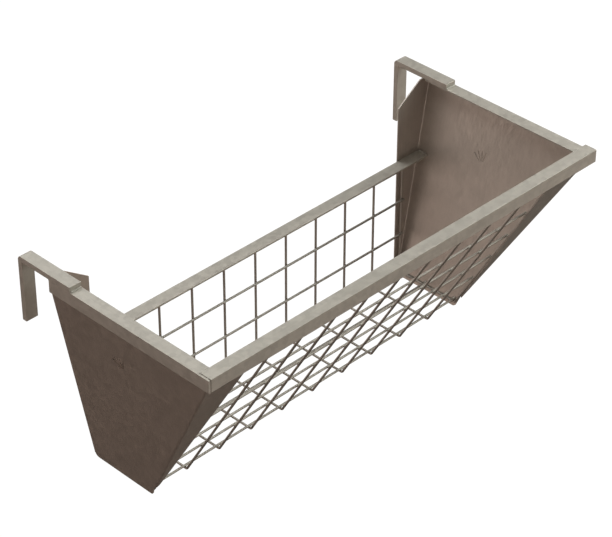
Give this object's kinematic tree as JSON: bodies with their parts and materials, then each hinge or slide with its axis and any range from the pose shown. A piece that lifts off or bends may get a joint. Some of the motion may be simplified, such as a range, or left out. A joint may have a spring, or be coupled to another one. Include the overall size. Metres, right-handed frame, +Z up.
{
  "type": "hay rack feeder",
  "caption": "Hanging hay rack: a V-shaped trough of square wire mesh between folded steel end plates, framed in angle iron, with flat-bar hooks that go over a fence.",
  "frame": {"origin": "midway between the two hooks, where the rack's rear plane meets the level of the hooks' undersides", "axes": "+X along the rack to its right end, +Y towards and through the fence, +Z up"},
  "size_m": [0.931, 0.4542, 0.425],
  "materials": {
    "end_plate": "dull galvanised sheet",
    "rail": "dull galvanised angle",
    "hook": "dull galvanised flat bar",
    "mesh_wire": "galvanised drawn wire",
    "weld": "galvanised weld bead"
  },
  "bodies": {
    "root": {"end_plate_left": "end_plate", "end_plate_right": "end_plate", "side_rail_left": "rail", "side_rail_right": "rail", "front_rail": "rail", "back_rail": "rail", "hook_left": "hook", "hook_right": "hook", "bent_wire_1": "mesh_wire", "bent_wire_2": "mesh_wire", "bent_wire_3": "mesh_wire", "bent_wire_4": "mesh_wire", "bent_wire_5": "mesh_wire", "bent_wire_6": "mesh_wire", "bent_wire_7": "mesh_wire", "bent_wire_8": "mesh_wire", "bent_wire_9": "mesh_wire", "bent_wire_10": "mesh_wire", "bent_wire_11": "mesh_wire", "back_wire_upper": "mesh_wire", "back_wire_middle": "mesh_wire", "back_wire_lower": "mesh_wire", "floor_wire_rear": "mesh_wire", "floor_wire_front": "mesh_wire", "front_wire_1": "mesh_wire", "front_wire_2": "mesh_wire", "front_wire_3": "mesh_wire", "front_wire_4": "mesh_wire", "front_wire_5": "mesh_wire", "hook_welds": "weld", "corner_welds": "weld", "back_rail_welds": "weld", "plate_welds": "weld"}
  },
  "joints": []
}
